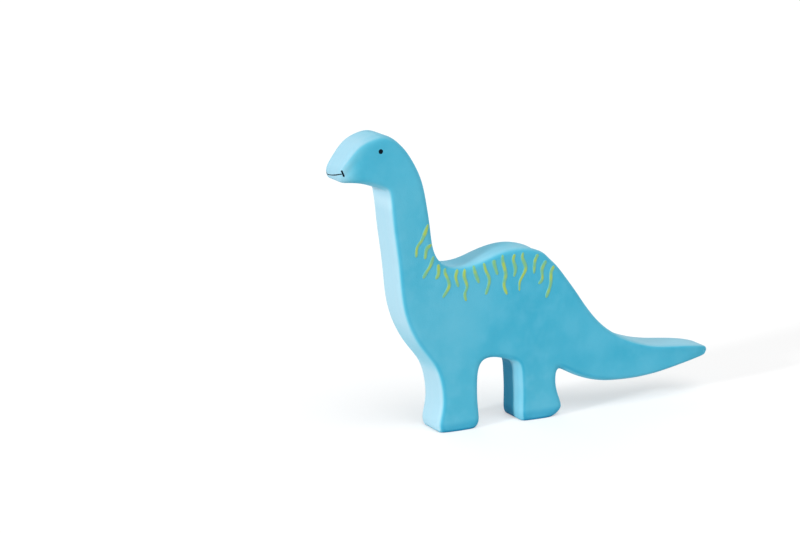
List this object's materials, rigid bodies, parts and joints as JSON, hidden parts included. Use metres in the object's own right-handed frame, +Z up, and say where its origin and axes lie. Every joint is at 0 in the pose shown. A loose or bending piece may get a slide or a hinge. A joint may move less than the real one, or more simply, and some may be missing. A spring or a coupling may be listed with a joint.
{
  "type": "toy dinosaur figure",
  "caption": "Long-necked toy dinosaur, moulded hollow in soft rubber, standing on flat block legs, with a plugged pour hole in the sole and a loose rattle inside.",
  "frame": {"origin": "on the floor under the middle of the figure, halfway between the nose and the tail tip and on the middle plane of its thickness", "axes": "+X from the nose to the tail, +Z up from the soles, +Y across the thickness, to the figure's right side"},
  "size_m": [0.1892, 0.0178, 0.135],
  "materials": {
    "blue_rubber": "matt natural rubber, washed in light blue, paler on the front faces",
    "plug_rubber": "matt moulded rubber, unpainted",
    "capsule_plastic": "satin moulded plastic",
    "bead_plastic": "smooth gloss beads",
    "stroke_paint": "thick yellow-green paint in brushed strokes",
    "face_paint": "black paint"
  },
  "bodies": {
    "figure": {"body_shell": "blue_rubber", "pour_hole_plug": "plug_rubber"},
    "rattle": {"rattle_capsule_lower": "capsule_plastic", "rattle_capsule_upper": "capsule_plastic"},
    "bead_1": {"rattle_bead_1": "bead_plastic"},
    "bead_2": {"rattle_bead_2": "bead_plastic"},
    "bead_3": {"rattle_bead_3": "bead_plastic"},
    "bead_4": {"rattle_bead_4": "bead_plastic"},
    "bead_5": {"rattle_bead_5": "bead_plastic"},
    "bead_6": {"rattle_bead_6": "bead_plastic"},
    "bead_7": {"rattle_bead_7": "bead_plastic"}
  },
  "joints": [
    {"name": "rattle_slide", "type": "slide", "parent": "figure", "child": "rattle", "axis": [0, 0, 1], "range_m": [0, 0.054]},
    {"name": "bead_1_hop", "type": "slide", "parent": "rattle", "child": "bead_1", "axis": [0, 0, 1], "range_m": [0, 0.0066]},
    {"name": "bead_2_hop", "type": "slide", "parent": "rattle", "child": "bead_2", "axis": [0, 0, 1], "range_m": [0, 0.0042]},
    {"name": "bead_3_hop", "type": "slide", "parent": "rattle", "child": "bead_3", "axis": [0, 0, 1], "range_m": [0, 0.0042]},
    {"name": "bead_4_hop", "type": "slide", "parent": "rattle", "child": "bead_4", "axis": [0, 0, 1], "range_m": [0, 0.0042]},
    {"name": "bead_5_hop", "type": "slide", "parent": "rattle", "child": "bead_5", "axis": [0, 0, 1], "range_m": [0, 0.0042]},
    {"name": "bead_6_hop", "type": "slide", "parent": "rattle", "child": "bead_6", "axis": [0, 0, 1], "range_m": [0, 0.0042]},
    {"name": "bead_7_hop", "type": "slide", "parent": "rattle", "child": "bead_7", "axis": [0, 0, 1], "range_m": [0, 0.0042]}
  ]
}
